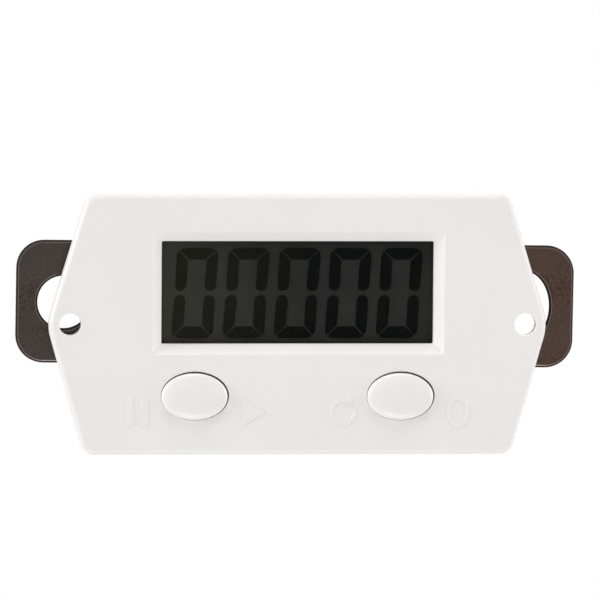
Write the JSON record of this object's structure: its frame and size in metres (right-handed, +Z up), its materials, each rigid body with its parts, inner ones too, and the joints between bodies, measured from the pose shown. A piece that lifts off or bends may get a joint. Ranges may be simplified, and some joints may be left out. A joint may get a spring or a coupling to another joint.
{
  "type": "proximity sensor counter",
  "caption": "Panel counter for a proximity sensor: hexagonal front plate, segment display, pause and reset buttons, battery drawer, and a steel clamp strap behind.",
  "frame": {"origin": "centre of the panel cut-out, in the back plane of the front plate", "axes": "+X to the right as seen by a person reading the display, +Y back through the panel, +Z up"},
  "size_m": [0.0765, 0.0226, 0.0356],
  "materials": {
    "white_plastic": "satin moulded, warm white",
    "cover_plastic": "fine moulded grain, warm white",
    "button_plastic": "smooth moulded, warm white",
    "clamp_steel": "dark, lightly polished",
    "plated_steel": "bright zinc plate",
    "insert_brass": "turned",
    "display_film": "glossy, see-through dark film",
    "display_glass": "clear",
    "display_segments": "glass with dark segments, taken as opaque",
    "reflector_film": "dull grey foil",
    "holder_plastic": "plain moulded",
    "connector_rubber": "layered silicone",
    "board_laminate": "green lacquer",
    "black_resin": "dull black",
    "capacitor_ceramic": "dull tan",
    "header_plastic": "off-white nylon",
    "pin_brass": "plated",
    "dome_silicone": "soft, translucent grey",
    "carbon_rubber": "dull",
    "carbon_ink": "printed",
    "cell_steel": "nickel-plated can",
    "contact_steel": "nickel-plated spring steel",
    "black_rubber": "soft"
  },
  "bodies": {
    "housing": {"front_housing": "white_plastic", "rear_cover": "cover_plastic", "clamp_insert": "insert_brass", "housing_screw_top_left": "plated_steel", "housing_screw_top_right": "plated_steel", "housing_screw_bottom_left": "plated_steel", "housing_screw_bottom_right": "plated_steel", "board_screw_left": "plated_steel", "board_screw_right": "plated_steel", "lcd_front_polariser": "display_film", "lcd_front_glass": "display_glass", "lcd_rear_glass": "display_segments", "lcd_reflector": "reflector_film", "lcd_holder": "holder_plastic", "connector_strip_upper": "connector_rubber", "connector_strip_lower": "connector_rubber", "circuit_board": "board_laminate", "counter_chip": "black_resin", "clock_crystal": "plated_steel", "capacitor_1": "capacitor_ceramic", "capacitor_2": "capacitor_ceramic", "resistor_1": "black_resin", "resistor_2": "black_resin", "sensor_header": "header_plastic", "sensor_pin_1": "pin_brass", "sensor_pin_2": "pin_brass", "pause_rubber_dome": "dome_silicone", "reset_rubber_dome": "dome_silicone", "pause_contact_pad": "carbon_ink", "reset_contact_pad": "carbon_ink", "battery_positive_contact": "contact_steel", "battery_negative_spring": "contact_steel", "cable_grommet": "black_rubber"},
    "pause_button": {"pause_button": "button_plastic", "pause_contact_pill": "carbon_rubber"},
    "reset_button": {"reset_button": "button_plastic", "reset_contact_pill": "carbon_rubber"},
    "battery_drawer": {"battery_drawer": "cover_plastic", "battery_cell": "cell_steel"},
    "clamp": {"clamp_bracket": "clamp_steel", "clamp_washer": "plated_steel"},
    "clamp_screw": {"clamp_screw": "plated_steel"}
  },
  "joints": [
    {"name": "pause_press", "type": "slide", "parent": "housing", "child": "pause_button", "axis": [0, 1, 0], "range_m": [0, 0.0008], "stiffness_N_per_m": 600, "deforming": ["pause_rubber_dome"]},
    {"name": "reset_press", "type": "slide", "parent": "housing", "child": "reset_button", "axis": [0, 1, 0], "range_m": [0, 0.0008], "stiffness_N_per_m": 600, "deforming": ["reset_rubber_dome"]},
    {"name": "battery_drawer_slide", "type": "slide", "parent": "housing", "child": "battery_drawer", "axis": [0, 0, -1], "range_m": [0, 0.014]},
    {"name": "clamp_slide", "type": "slide", "parent": "housing", "child": "clamp", "axis": [0, 1, 0], "range_m": [0, 0.003]},
    {"name": "clamp_screw_turn", "type": "hinge", "parent": "clamp", "child": "clamp_screw", "pos_m": [0, 0.0182, 0.00332], "axis": [0, 1, 0], "range_deg": [0, 2401]}
  ],
  "couplings": [
    {"joint": "clamp_screw_turn", "follows": "clamp_slide", "rad_per_m": 13963}
  ]
}
